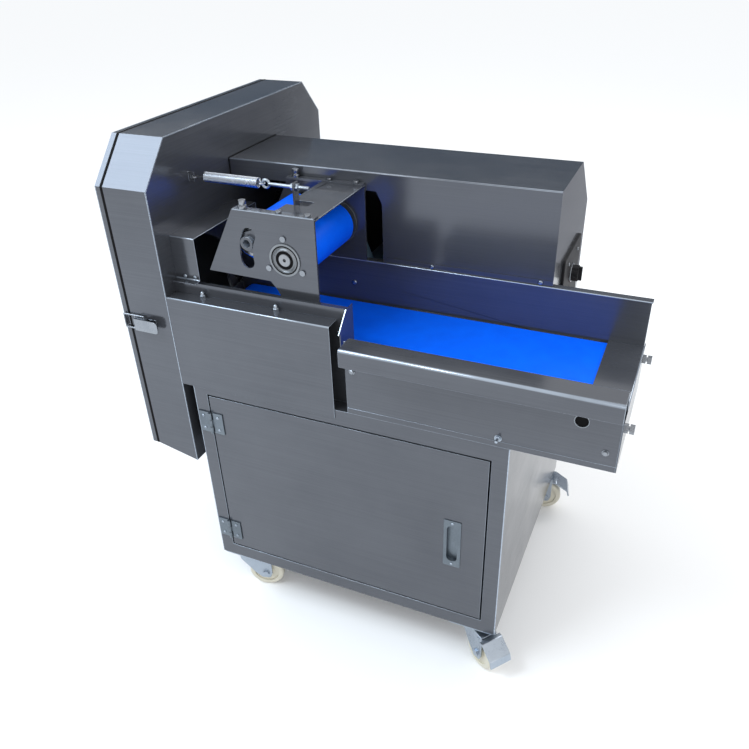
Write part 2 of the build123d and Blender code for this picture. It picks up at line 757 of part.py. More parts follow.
# Slider bed: a flat plate under the belt's upper run with its edges folded down
bed_left = drive_x + roller_radius + 6
bed_right = tail_x - roller_radius - 6
bed_skirt = 40.0
with BuildPart() as bed:
    extrude(folded(Plane.YZ.offset(bed_left), [
        (strip_front + sheet, bed_top - bed_skirt), (strip_front + sheet, bed_top),
        (trough_back, bed_top), (trough_back, bed_top - bed_skirt),
    ]), amount=bed_right - bed_left)
    span(left + trough_start + 2 * sheet, bed_right, front + sheet, belt_front, bed_top - sheet, bed_top)
save(bed, "slider_bed")

# Front rail: one folded sheet with a skirt, a flat top and a slope that guides vegetables onto the belt
with BuildPart() as rail:
    extrude(folded(Plane.YZ.offset(left + rail_start), [
        (rail_front, rail_top - rail_skirt), (rail_front, rail_top), (rail_fold, rail_top),
        (slope_end, belt_top + part_gap),
    ], rail_bend), amount=trough_end - left - rail_start)
save(rail, "front_rail")

# Side guide: an upright strip, a ledge that carries the press unit's foot, and a wall down to the belt
ledge_back = strip_front + ledge_depth
guide_right = left + guide_end
with BuildPart() as guide:
    span(housing_right, guide_right, strip_front, strip_front + sheet, cabinet_top + sheet, strip_top)
    extrude(folded(Plane.YZ.offset(housing_right), [
        (strip_front + sheet, side_top), (ledge_back, side_top), (ledge_back, belt_top + part_gap),
    ]), amount=guide_right - housing_right)
    extrude(outline(Plane.YZ.offset(guide_right), [
        (rail_fold, rail_top), (strip_front, strip_top), (ledge_back, strip_top),
        (ledge_back, belt_top + part_gap), (front + sheet, belt_top + part_gap), (front + sheet, rail_top),
    ]), amount=sheet)
    span(guide_right, left + trough_start + sheet, strip_front, strip_front + sheet, cabinet_top + sheet,
         bed_top - 2 * sheet)
    bore("Y", (drive_x, roller_z), roller_shaft + 2, strip_front - 1, strip_front + 3)
save(guide, "side_guide")

# Front guard: the housing's front plate carried on over the trough, with a flange on top
with BuildPart() as guard:
    extrude(folded(Plane.YZ.offset(housing_right), [
        (housing_front, guard_top - guard_height), (housing_front, guard_top), (strip_front, guard_top),
    ]), amount=guard_length)
save(guard, "front_guard")

# End cover: a shelf level with the belt, folded down into the trough's end plate
shelf_left = trough_end - shelf_length
bolt_lines = (belt_front - 8, trough_back + 9)
with BuildPart() as end_cover:
    extrude(folded(wall_plane(trough_back), [
        (shelf_left, shelf_top), (trough_end, shelf_top), (trough_end, cabinet_top),
    ]), amount=trough_back - slope_end)
    span(trough_end - sheet, trough_end, front, slope_end, cabinet_top, belt_top - part_gap)
    span(trough_end - sheet, trough_end, trough_back, trough_back + lip_depth, cabinet_top, belt_top)
    for bolt_y in bolt_lines:
        bore("X", (bolt_y, roller_z), tension_bolt_radius + running_gap, trough_end - 5, trough_end + 5)
save(end_cover, "end_cover")

# Lower belt and its two rollers
drive_at = (drive_x, roller_z)
tail_at = (tail_x, roller_z)
belt_inner = roller_radius + belt_gap
belt_outer = belt_inner + belt_thickness
with BuildPart() as lower_belt:
    extrude(hull(wall_plane(belt_back), [(drive_at, belt_outer), (tail_at, belt_outer)]),
                amount=belt_back - belt_front)
    extrude(hull(wall_plane(belt_back + 1), [(drive_at, belt_inner), (tail_at, belt_inner)]),
                amount=belt_back - belt_front + 2, mode=Mode.SUBTRACT)
save(lower_belt, "lower_belt")

gear_front = trough_back + lip_depth + part_gap
with BuildPart() as drive_roller:
    rod("Y", drive_at, roller_radius, belt_front, belt_back)
    rod("Y", drive_at, roller_shaft, strip_front - 8, gear_front + gear_case_thickness / 2)
    fillet(drive_roller.edges().filter_by(GeomType.CIRCLE).group_by(SortBy.RADIUS)[-1], radius=2)
save(drive_roller, "drive_roller")

take_up_front = front + sheet
take_up_back = trough_back + 16
with BuildPart() as tail_roller:
    rod("Y", tail_at, roller_radius, belt_front, belt_back)
    rod("Y", tail_at, roller_shaft, belt_front - 16, take_up_back - 3)
    fillet(tail_roller.edges().filter_by(GeomType.CIRCLE).group_by(SortBy.RADIUS)[-1], radius=2)
save(tail_roller, "tail_roller")

# Take-up blocks carry the tail roller's shaft; a bolt through the end plate draws each one outwards
with BuildPart() as take_ups:
    for low_y, high_y in ((take_up_front, belt_front - 4), (trough_back + sheet, take_up_back)):
        span(tail_x - take_up_length / 2, tail_x + take_up_length / 2, low_y, high_y,
             roller_z - take_up_height / 2, roller_z + take_up_height / 2)
    bore("Y", tail_at, roller_shaft + running_gap, belt_front - 17, take_up_back - 2)
save(take_ups, "take_up_blocks")

with BuildPart() as tension_bolts:
    for bolt_y in bolt_lines:
        rod("X", (bolt_y, roller_z), tension_bolt_radius, tail_x + take_up_length / 2,
            trough_end + tension_bolt_reach)
        for start, end in ((0, tension_nut_height), (tension_nut_height + 2, tension_bolt_reach)):
            with BuildSketch(Plane.YZ.offset(trough_end + start)):
                with Locations((bolt_y, roller_z)):
                    RegularPolygon(tension_nut, 6, major_radius=False)
            extrude(amount=end - start)
save(tension_bolts, "tension_bolts")

# Press unit: two side plates with a flange on top, a foot below and a curved slot for the nip roller's pin
entry_at = (entry_x, entry_z)
nip_at = (nip_x, nip_z)
slot_path = CenterArc(entry_at, nip_reach, 180 - nip_angle - swing_up, swing_up + swing_down)
flange_left = entry_x - press_plate_left + press_shoulder
flange_right = entry_x + press_plate_right
foot_left = flange_right - foot_width
plate_outline = [
    (entry_x - press_plate_left, entry_z - 39.5),
    (flange_left, plate_top),
    (flange_right, plate_top),
    (flange_right - 1, side_top),
    (foot_left, side_top),
    (foot_left - 6, side_top + 12),
    (foot_left - 18, entry_z - 42),
]

top_screw_xs = (entry_x - 8, entry_x + 44)
stop_screw_x = nip_x - 4
top_plate_high = plate_top - press_plate_thickness
plate_inner = plate_front + press_plate_thickness
flange_middle = plate_front + press_flange / 2
press_middle = wall_plane((plate_front + plate_back + press_plate_thickness) / 2)
with BuildPart() as press_plates:
    extrude(outline(wall_plane(plate_inner), plate_outline), amount=press_plate_thickness)
    span(flange_left, flange_right, plate_front, plate_front + press_flange, top_plate_high, plate_top)
    bore("Y", entry_at, bearing_radius, plate_front - 1, plate_inner + 1)
    with BuildSketch(wall_plane(plate_inner + 1)):
        SlotArc(slot_path, 2 * (nip_pin_radius + slot_clearance))
    extrude(amount=press_plate_thickness + 2, mode=Mode.SUBTRACT)
    for screw_x in top_screw_xs:
        bore("Z", (screw_x, flange_middle), bearing_bolt_radius, top_plate_high - 1, plate_top + 1)
    mirror(about=press_middle)
save(press_plates, "press_side_plates")

# Top plate between the flanges, with a notch that the swing frame's tab moves in
top_plate_left = entry_x - 24
with BuildPart() as top_plate:
    span(top_plate_left, flange_right, plate_inner, plate_back, top_plate_high - top_plate_thickness, top_plate_high)
    span(top_plate_left - 1, entry_x + 16, front + tab_y - tab_width / 2 - 3, front + tab_y + tab_width / 2 + 3,
         top_plate_high - 2 * top_plate_thickness, top_plate_high + 1, Mode.SUBTRACT)
    for screw_x in top_screw_xs:
        bore("Z", (screw_x, flange_middle), bearing_bolt_radius, top_plate_high - 10, top_plate_high + 1)
        bore("Z", (screw_x, plate_back + press_plate_thickness - press_flange / 2), bearing_bolt_radius,
             top_plate_high - 10, top_plate_high + 1)
save(top_plate, "press_top_plate")

# Flange bearings: two in the press unit's plates and two for the lower drive roller
inner_flange = 2.0
bearing_proud = 2.0
with BuildPart() as bearings:
    rod("Y", entry_at, bearing_radius, plate_front - bearing_proud, plate_inner)
    bore("Y", entry_at, bearing_radius - 6, plate_front - bearing_proud - 1, plate_front - bearing_proud / 2)
    rod("Y", entry_at, entry_shaft + 7, plate_front - bearing_proud, plate_front)
    rod("Y", entry_at, bearing_flange_radius, plate_inner, plate_inner + inner_flange)
    mirror(about=press_middle)
    bore("Y", entry_at, entry_shaft + running_gap, plate_front - 10, plate_back + 20)
    rod("Y", drive_at, roller_shaft + 12, strip_front - 7, strip_front)
    rod("Y", drive_at, roller_shaft + 12, trough_back + sheet, trough_back + sheet + 7)
    bore("Y", drive_at, roller_shaft + running_gap, strip_front - 10, trough_back + 20)
save(bearings, "flange_bearings")

# Screws of the press unit: three round each bearing, two on each flange, and a tall stop screw at each end
with BuildPart() as press_screws:
    for angle in (90, 210, 330):
        at = (entry_x + bearing_bolt_circle * cos(radians(angle)),
              entry_z + bearing_bolt_circle * sin(radians(angle)))
        rod("Y", at, 2 * bearing_bolt_radius, plate_front - 2.5, plate_front)
    for screw_x in top_screw_xs:
        rod("Z", (screw_x, flange_middle), 2 * bearing_bolt_radius, plate_top, plate_top + 4)
        rod("Z", (screw_x, flange_middle), bearing_bolt_radius - running_gap, top_plate_high - 6, plate_top)
    rod("Z", (stop_screw_x, flange_middle), 7, plate_top, plate_top + 5)
    rod("Z", (stop_screw_x, flange_middle), stop_screw_radius, plate_top, plate_top + 9)
    rod("Z", (stop_screw_x, flange_middle), 6, plate_top + 8, plate_top + 14)
    mirror(about=press_middle)
save(press_screws, "press_screws")

# Entry roller, driven through the gear case, and the nip roller on the swing frame's tubular pin
arm_front = plate_inner + inner_flange + part_gap
arm_back = plate_back - inner_flange - part_gap
press_belt_front = arm_front + arm_thickness + 5
press_belt_back = arm_back - arm_thickness - 5
with BuildPart() as entry_roller:
    rod("Y", entry_at, entry_radius, press_belt_front - 2, press_belt_back + 2)
    rod("Y", entry_at, entry_shaft, plate_front - 2.5, gear_front + gear_case_thickness / 2)
    fillet(entry_roller.edges().filter_by(GeomType.CIRCLE).group_by(SortBy.RADIUS)[-1], radius=1)
    bore("Y", entry_at, 3, plate_front - 4, plate_front + 3)
save(entry_roller, "entry_roller")

with BuildPart() as nip_roller:
    rod("Y", nip_at, nip_radius, press_belt_front - 2, press_belt_back + 2)
    bore("Y", nip_at, nip_pin_radius + running_gap, press_belt_front - 10, press_belt_back + 10)
save(nip_roller, "nip_roller")

with BuildPart() as press_belt:
    loop = [(entry_at, entry_radius + belt_gap), (nip_at, nip_radius + belt_gap)]
    outer_loop = [(at, radius + belt_thickness) for at, radius in loop]
    extrude(hull(wall_plane(press_belt_back), outer_loop), amount=press_belt_back - press_belt_front)
    extrude(hull(wall_plane(press_belt_back + 1), loop),
            amount=press_belt_back - press_belt_front + 2, mode=Mode.SUBTRACT)
save(press_belt, "press_belt")

# Swing frame: two arms that pivot on the entry roller's shaft, a cross bar, the spring tab and the pin
bar_left = entry_x - 36
bar_low = entry_z + 48.5
tab_right = entry_x - 9
eye_z = entry_z + tab_height - 2
with BuildPart() as swing_frame:
    arm_circles = [(entry_at, 20), (nip_at, 17), ((entry_x - 24, entry_z + 47), 8)]
    extrude(hull(wall_plane(arm_front + arm_thickness), arm_circles), amount=arm_thickness)
    mirror(about=press_middle)
    span(bar_left, tab_right, arm_front, arm_back, bar_low, bar_low + 4)
    span(tab_right - tab_thickness, tab_right, front + tab_y - tab_width / 2, front + tab_y + tab_width / 2,
         bar_low, entry_z + tab_height + 6)
    rod("Y", nip_at, nip_pin_radius, plate_front - 1, plate_back + press_plate_thickness)
    bore("Y", nip_at, nip_pin_bore, plate_front - 2, plate_back + 10)
    bore("Y", entry_at, entry_shaft + running_gap, arm_front - 1, arm_back + 1)
    bore("X", (front + tab_y, eye_z), eyebolt_radius, tab_right - 10, tab_right + 10)
save(swing_frame, "swing_frame")

# Eyebolt with two nuts, one on each face of the tab, and the close wound extension spring with its hooks
eye_x = entry_x - eye_reach
with BuildPart() as eyebolt:
    rod("X", (front + tab_y, eye_z), eyebolt_radius, eye_x + 6, entry_x + 15)
    with Locations(Location((eye_x, front + tab_y, eye_z), (90, 0, 0))):
        Torus(eye_radius, eye_wire)
    for nut_x in (tab_right, tab_right - tab_thickness - eye_nut_height):
        with BuildSketch(Plane.YZ.offset(nut_x)):
            with Locations((front + tab_y, eye_z)):
                RegularPolygon(eye_nut, 6, major_radius=False)
        extrude(amount=eye_nut_height)
save(eyebolt, "spring_eyebolt")

spring_right = eye_x - 14
spring_left = spring_right - spring_length
anchor_x = housing_right + 7
with BuildPart() as spring:
    rod("X", (front + tab_y, eye_z), spring_radius, spring_left, spring_right)
    fillet(spring.edges().filter_by(GeomType.CIRCLE), radius=3)
    rod("X", (front + tab_y, eye_z), 1.6, spring_right - 1, eye_x - 9.3)
    rod("X", (front + tab_y, eye_z), 1.6, anchor_x + 5, spring_left + 1)
save(spring, "tension_spring")

# Throat hood: a folded cover over the belt where it enters the knife housing
hood_top = belt_top + hood_rise
hood_inner = front + hood_front
with BuildPart() as hood:
    extrude(folded(Plane.YZ.offset(housing_right), [
        (hood_inner - hood_flange, strip_top + sheet), (hood_inner, strip_top + sheet), (hood_inner, hood_top),
        (throat_back, hood_top), (throat_back, side_top),
    ]), amount=hood_length)
save(hood, "throat_hood")

# Knife rotor: a stepped shaft, a hub disc with three arms, and a curved knife bolted to each arm
blade_right = housing_right - sheet - blade_gap
blade_left = blade_right - blade_thickness
disc_left = blade_left - disc_thickness
shaft_end = left + pulley_x + pulley_width / 2 + 6
knife_at = (knife_axis_y, knife_axis_z)
with BuildPart() as knife_shaft:
    rod("X", knife_at, knife_shaft_radius, disc_left - 22, shaft_end)
    with BuildSketch(Plane.YZ.offset(disc_left - 18)):
        with Locations(knife_at):
            RegularPolygon(26, 6, major_radius=False)
    extrude(amount=18)
save(knife_shaft, "knife_shaft")

with BuildPart() as knife_disc:
    with BuildSketch(Plane.YZ.offset(disc_left)):
        with Locations(knife_at):
            Circle(knife_hub_radius)
            with PolarLocations(knife_arm_reach / 2, knife_count, start_angle=knife_first_angle):
                Rectangle(knife_arm_reach, knife_arm_width)
            Circle(knife_shaft_radius, mode=Mode.SUBTRACT)
            with PolarLocations(knife_root + 5, knife_count, start_angle=knife_first_angle + 60):
                Circle(20, mode=Mode.SUBTRACT)
    extrude(amount=disc_thickness)
save(knife_disc, "knife_disc")

with BuildSketch() as blade:
    with BuildLine():
        tip = (sqrt(knife_radius ** 2 - knife_sweep ** 2), knife_sweep)
        cutting_edge = RadiusArc((knife_root, knife_root_half), tip, -knife_edge_radius)
        back = RadiusArc((tip[0] - 4, -6), (knife_root, -knife_root_half), knife_back_radius)
        Line(cutting_edge @ 1, back @ 0)
        Line(back @ 1, cutting_edge @ 0)
    make_face()

with BuildPart() as knives:
    with BuildSketch(Plane.YZ.offset(blade_left)):
        with Locations(knife_at):
            with PolarLocations(0, knife_count, start_angle=knife_first_angle):
                add(blade.sketch)
    extrude(amount=blade_thickness)
save(knives, "knives")

# Bearing housing for the knife shaft, with a flange on the housing wall and a foot on the cabinet
with BuildPart() as knife_bearing:
    rod("X", knife_at, knife_bearing_radius, housing_right, housing_right + knife_bearing_length)
    rod("X", knife_at, knife_bearing_flange, housing_right, housing_right + 8)
    with BuildSketch(Plane.YZ.offset(left + 6)):
        with BuildLine():
            Polyline((knife_axis_y - knife_bearing_foot, cabinet_top),
                     (knife_axis_y - knife_bearing_neck, knife_axis_z),
                     (knife_axis_y + knife_bearing_neck, knife_axis_z),
                     (knife_axis_y + knife_bearing_foot, cabinet_top), close=True)
        make_face()
    extrude(amount=knife_bearing_length - housing_gap - 12)
    bore("X", knife_at, knife_shaft_radius + running_gap, housing_right - 1, left + knife_bearing_length)
save(knife_bearing, "knife_bearing_housing")


def pulley(centre, radius, shaft_radius):
    """Draws a grooved pulley on the X axis through centre, bored for its shaft."""
    start = left + pulley_x - pulley_width / 2
    end = left + pulley_x + pulley_width / 2
    groove = (pulley_width - 12) / 2
    rod("X", centre, radius, start, end)
    rod("X", centre, radius + v_belt_depth, start, start + groove)
    rod("X", centre, radius + v_belt_depth, end - groove, end)
    bore("X", centre, shaft_radius + running_gap, start - 1, end + 1)


motor_at = (knife_axis_y, motor_z)
with BuildPart() as knife_pulley:
    pulley(knife_at, knife_pulley_radius, knife_shaft_radius)
save(knife_pulley, "knife_pulley")

with BuildPart() as motor_pulley:
    pulley(motor_at, motor_pulley_radius, motor_shaft_radius)
save(motor_pulley, "motor_pulley")

with BuildPart() as v_belt:
    loop = [(knife_at, knife_pulley_radius + belt_gap), (motor_at, motor_pulley_radius + belt_gap)]
    outer_loop = [(at, radius + v_belt_depth) for at, radius in loop]
    belt_left = left + pulley_x - 5.5
    extrude(hull(Plane.YZ.offset(belt_left), outer_loop), amount=11)
    extrude(hull(Plane.YZ.offset(belt_left - 1), loop), amount=13, mode=Mode.SUBTRACT)
save(v_belt, "drive_belt")

# Knife motor on the cabinet floor: finned body, end bell, terminal box and feet; its shaft turns the pulley
motor_left = left + pulley_x + pulley_width / 2 + 20
motor_right = motor_left + motor_length
with BuildPart() as motor_shaft:
    rod("X", motor_at, motor_shaft_radius, left + pulley_x - pulley_width / 2 - 6, motor_left + 40)
save(motor_shaft, "motor_shaft")

with BuildPart() as motor:
    rod("X", motor_at, motor_radius, motor_left, motor_right)
    fillet(motor.edges().filter_by(GeomType.CIRCLE), radius=10)
    with BuildSketch(Plane.YZ.offset(motor_left + 26)):
        with Locations(motor_at):
            with PolarLocations(motor_radius, motor_fins):
                Rectangle(16, 4)
    extrude(amount=motor_length - 80)
    span(motor_left + 60, motor_left + 60 + terminal_box_length, knife_axis_y - terminal_box_width / 2,
         knife_axis_y + terminal_box_width / 2, motor_z + motor_radius - 10,
         motor_z + motor_radius + terminal_box_height)
    floor_top = cabinet_bottom + sheet
    for foot_y in (knife_axis_y - motor_foot_spacing / 2, knife_axis_y + motor_foot_spacing / 2):
        span(motor_left + 30, motor_right - 60, foot_y - motor_foot_width / 2, foot_y + motor_foot_width / 2,
             floor_top, floor_top + motor_foot_height)
        span(motor_left + 30, motor_right - 60, foot_y - motor_web / 2, foot_y + motor_web / 2,
             floor_top, motor_z - motor_web)
    bore("X", motor_at, motor_shaft_radius + running_gap, motor_left - 1, motor_left + 41)
save(motor, "knife_motor")

# Gear case that drives both conveyors from one motor, with a foot on the cabinet
gear_motor_at = (left + gear_motor_x, gear_motor_z)
with BuildPart() as gear_motor:
    case_circles = [(drive_at, gear_case_boss), (entry_at, gear_case_boss), (gear_motor_at, gear_case_body)]
    extrude(hull(wall_plane(gear_front + gear_case_thickness), case_circles), amount=gear_case_thickness)
    span(gear_motor_at[0] - gear_case_foot / 2, gear_motor_at[0] + gear_case_foot / 2,
         gear_front, gear_front + gear_case_thickness, cabinet_top, gear_motor_z)
    rod("Y", gear_motor_at, gear_motor_radius, gear_front + gear_case_thickness,
        gear_front + gear_case_thickness + gear_motor_length)
    bore("Y", drive_at, roller_shaft + running_gap, gear_front - 1, gear_front + gear_case_thickness / 2 + 1)
    bore("Y", entry_at, entry_shaft + running_gap, gear_front - 1, gear_front + gear_case_thickness / 2 + 1)
save(gear_motor, "conveyor_gearmotor")

# Motor box: a folded cover, open below and towards the housing, with a cut-out behind the press unit
box_wall = [
    (box_front_y, side_top), (box_front_y, box_top), (box_back_y - box_slope_in, box_top),
    (box_back_y, box_top - box_slope_down), (box_back_y, cabinet_top),
]
box_clear = trough_back + lip_depth + part_gap
panel_centre = (box_front_y + panel_from_front, cabinet_top + panel_rise)
knob_at = (panel_centre[0], panel_centre[1] + knob_rise)
button_at = (panel_centre[0], panel_centre[1] - button_drop)
with BuildPart() as box:
    extrude(folded(Plane.YZ.offset(housing_right), box_wall), amount=box_right - housing_right)
    with BuildSketch(Plane.YZ.offset(box_right - sheet)):
        with BuildLine():
            Polyline(*box_wall, (box_clear, cabinet_top), (box_clear, side_top), close=True)
        make_face()
        fillet(vertices().sort_by(Axis.Y)[-3:], radius=bend_radius)
    extrude(amount=sheet)
    extrude(outline(wall_plane(box_front_y + 2 * sheet), [
        (housing_right - 1, side_top - 1), (housing_right - 1, side_top + cutout_height),
        (left + cutout_right - cutout_corner / 2, side_top + cutout_height),
        (left + cutout_right, side_top + cutout_height - cutout_corner), (left + cutout_right, side_top - 1),
    ]), amount=3 * sheet, mode=Mode.SUBTRACT)
    span(left + cutout_right + 8, box_right, box_front_y - sheet, box_front_y, side_top, side_top + 10)
    for control_at in (knob_at, button_at):
        bore("X", control_at, control_stem + part_gap, box_right - 5, box_right + 5)
save(box, "motor_box_cover")

# Controls: a thin panel on the box's end with a speed knob above a mushroom stop button
face_x = box_right + panel_depth
with BuildPart() as panel:
    with BuildSketch(Plane.YZ.offset(box_right)):
        with Locations(panel_centre):
            RectangleRounded(panel_width, panel_height, panel_corner)
    extrude(amount=panel_depth)
    chamfer(panel.faces().sort_by(Axis.X)[-1].edges(), length=1)
    for control_at in (knob_at, button_at):
        bore("X", control_at, control_stem + running_gap, box_right - 5, face_x + 1)
save(panel, "control_panel")

with BuildPart() as stop_button:
    head_x = face_x + button_travel + part_gap
    rod("X", button_at, control_stem, box_right, head_x)
    rod("X", button_at, button_radius, head_x, head_x + button_height)
    fillet(stop_button.edges().filter_by(GeomType.CIRCLE).group_by(Axis.X)[-1], radius=button_height / 2)
save(stop_button, "stop_button")

with BuildPart() as knob:
    grip_x = face_x + knob_length - knob_grip
    rod("X", knob_at, control_stem, box_right, face_x + 2 * part_gap)
    with BuildSketch(Plane.YZ.offset(face_x + part_gap)):
        with Locations(knob_at):
            Circle(knob_radius)
            with PolarLocations(knob_radius + 1.5, 8):
                Circle(3, mode=Mode.SUBTRACT)
    extrude(amount=grip_x - face_x - part_gap)
    span(grip_x, face_x + knob_length, knob_at[0] - knob_grip / 2, knob_at[0] + knob_grip / 2,
         knob_at[1] - knob_radius + 2, knob_at[1] + knob_radius - 2)
save(knob, "speed_knob")
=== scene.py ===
import math

import bmesh
import bpy
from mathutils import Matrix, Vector


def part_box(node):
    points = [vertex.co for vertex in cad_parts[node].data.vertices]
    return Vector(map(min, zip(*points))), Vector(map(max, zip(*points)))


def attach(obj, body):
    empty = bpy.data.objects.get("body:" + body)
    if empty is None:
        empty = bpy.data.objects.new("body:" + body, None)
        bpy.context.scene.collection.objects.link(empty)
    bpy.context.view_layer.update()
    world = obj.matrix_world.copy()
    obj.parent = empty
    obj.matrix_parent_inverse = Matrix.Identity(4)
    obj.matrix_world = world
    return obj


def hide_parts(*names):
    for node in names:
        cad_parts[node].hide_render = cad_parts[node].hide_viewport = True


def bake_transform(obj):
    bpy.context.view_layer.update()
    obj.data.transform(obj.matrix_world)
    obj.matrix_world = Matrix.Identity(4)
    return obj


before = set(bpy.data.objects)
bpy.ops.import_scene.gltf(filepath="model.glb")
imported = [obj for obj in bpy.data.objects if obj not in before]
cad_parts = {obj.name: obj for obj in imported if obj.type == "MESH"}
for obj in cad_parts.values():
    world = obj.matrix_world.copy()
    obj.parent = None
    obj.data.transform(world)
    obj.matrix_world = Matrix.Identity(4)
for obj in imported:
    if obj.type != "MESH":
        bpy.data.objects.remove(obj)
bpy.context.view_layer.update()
MM = 0.001

# Materials


def link(tree, source, target):
    tree.links.new(source, target)


def shader(name):
    """A new material with its node tree and its Principled shader."""
    material = bpy.data.materials.new(name)
    material.use_nodes = True
    return material, material.node_tree, material.node_tree.nodes["Principled BSDF"]


def noise(tree, coordinates, stretch, detail=3.0, rough=0.55):
    """Noise in object coordinates; stretch is how many features fit in a metre along X, Y and Z."""
    place = tree.nodes.new("ShaderNodeMapping")
    place.inputs["Scale"].default_value = stretch
    link(tree, coordinates, place.inputs["Vector"])
    texture = tree.nodes.new("ShaderNodeTexNoise")
    texture.inputs["Scale"].default_value = 1.0
    texture.inputs["Detail"].default_value = detail
    texture.inputs["Roughness"].default_value = rough
    link(tree, place.outputs["Vector"], texture.inputs["Vector"])
    return texture.outputs["Fac"]


def span(tree, value, low, high, start=0.3, end=0.7):
    """Maps a texture value between start and end onto low to high."""
    ramp = tree.nodes.new("ShaderNodeMapRange")
    ramp.inputs["From Min"].default_value = start
    ramp.inputs["From Max"].default_value = end
    ramp.inputs["To Min"].default_value = low
    ramp.inputs["To Max"].default_value = high
    link(tree, value, ramp.inputs["Value"])
    return ramp.outputs["Result"]


def combine(tree, operation, first, second):
    """One Math node; either side may be a number."""
    made = tree.nodes.new("ShaderNodeMath")
    made.operation = operation
    for socket, value in zip(made.inputs, (first, second)):
        if isinstance(value, (int, float)):
            socket.default_value = value
        else:
            link(tree, value, socket)
    return made.outputs[0]


def mix(tree, amount, first, second):
    """Mixes two colours, each a tuple or a socket, by a value."""
    made = tree.nodes.new("ShaderNodeMix")
    made.data_type = "RGBA"
    link(tree, amount, made.inputs["Factor"])
    for socket, colour in ((made.inputs[6], first), (made.inputs[7], second)):
        if isinstance(colour, tuple):
            socket.default_value = (*colour, 1.0)
        else:
            link(tree, colour, socket)
    return made.outputs[2]


def bump(tree, height, strength, distance):
    made = tree.nodes.new("ShaderNodeBump")
    made.inputs["Strength"].default_value = strength
    made.inputs["Distance"].default_value = distance
    link(tree, height, made.inputs["Height"])
    return made.outputs["Normal"]


def bends(tree, normal, slant):
    """1 where a surface turns between the machine's main directions, as folds do, and 0 on its flats.

    slant is the y and z share of one more flat direction, such as a chamfer's, or None."""
    parts = tree.nodes.new("ShaderNodeSeparateXYZ")
    link(tree, normal, parts.inputs[0])
    along = {axis: combine(tree, "ABSOLUTE", parts.outputs[axis], 0.0) for axis in "XYZ"}
    largest = combine(tree, "MAXIMUM", combine(tree, "MAXIMUM", along["X"], along["Y"]), along["Z"])
    if slant:
        slanted = combine(tree, "ADD", combine(tree, "MULTIPLY", along["Y"], slant[0]),
                          combine(tree, "MULTIPLY", along["Z"], slant[1]))
        largest = combine(tree, "MAXIMUM", largest, slanted)
    return span(tree, largest, 1.0, 0.0, 0.92, 0.99)


def brushed(name, dark, light, rough, grain=(5, 700, 700), side_grain=(700, 5, 700), metallic=0.6,
            painted_highlight=None, slant=None):
    """Brushed metal with soft handling marks: fine lines along X, and along Y on the faces that look along X.

    rubbed is the brighter colour painted on its folds and edges as a highlight, in patches."""
    material, tree, principled = shader(name)
    where = tree.nodes.new("ShaderNodeTexCoord")
    along = noise(tree, where.outputs["Object"], grain)
    across = noise(tree, where.outputs["Object"], side_grain)
    facing = tree.nodes.new("ShaderNodeSeparateXYZ")
    link(tree, where.outputs["Normal"], facing.inputs[0])
    sideways = combine(tree, "GREATER_THAN", combine(tree, "ABSOLUTE", facing.outputs["X"], 0.0), 0.6)
    pick = tree.nodes.new("ShaderNodeMix")
    link(tree, sideways, pick.inputs["Factor"])
    link(tree, along, pick.inputs["A"])
    link(tree, across, pick.inputs["B"])
    lines = pick.outputs["Result"]
    clouds = noise(tree, where.outputs["Object"], (6, 6, 6), 5.0, 0.6)
    shade = combine(tree, "MULTIPLY", combine(tree, "ADD", lines, clouds), 0.5)
    colour = mix(tree, span(tree, shade, 0.0, 1.0), dark, light)
    # Painted highlight: folds and edges get a lighter, bluer colour in patches, standing in for a lamp's
    # reflection on them
    if painted_highlight:
        highlight_mask = combine(tree, "MULTIPLY", bends(tree, where.outputs["Normal"], slant),
                       span(tree, clouds, 0.55, 1.0))
        colour = mix(tree, highlight_mask, colour, painted_highlight)
    link(tree, colour, principled.inputs["Base Color"])
    uneven = combine(tree, "ADD", span(tree, lines, rough[0], rough[1]), span(tree, clouds, -0.05, 0.06))
    link(tree, uneven, principled.inputs["Roughness"])
    link(tree, bump(tree, lines, 0.04, 0.0004), principled.inputs["Normal"])
    principled.inputs["Metallic"].default_value = metallic
    return material


def speckled(name, dark, light, rough, grain, metallic=0.0, relief=0.1, depth=0.0004, specular=0.5):
    """A cast, painted, plated or moulded surface with an even fine grain and slow shifts of tone."""
    material, tree, principled = shader(name)
    where = tree.nodes.new("ShaderNodeTexCoord")
    fine = noise(tree, where.outputs["Object"], (grain, grain, grain), 4.0)
    slow = noise(tree, where.outputs["Object"], (grain / 25, grain / 25, grain / 25), 4.0)
    shade = combine(tree, "ADD", combine(tree, "MULTIPLY", fine, 0.4), combine(tree, "MULTIPLY", slow, 0.6))
    link(tree, mix(tree, span(tree, shade, 0.0, 1.0), dark, light), principled.inputs["Base Color"])
    link(tree, span(tree, shade, rough[0], rough[1]), principled.inputs["Roughness"])
    link(tree, bump(tree, fine, relief, depth), principled.inputs["Normal"])
    principled.inputs["Metallic"].default_value = metallic
    principled.inputs["Specular IOR Level"].default_value = specular
    return material
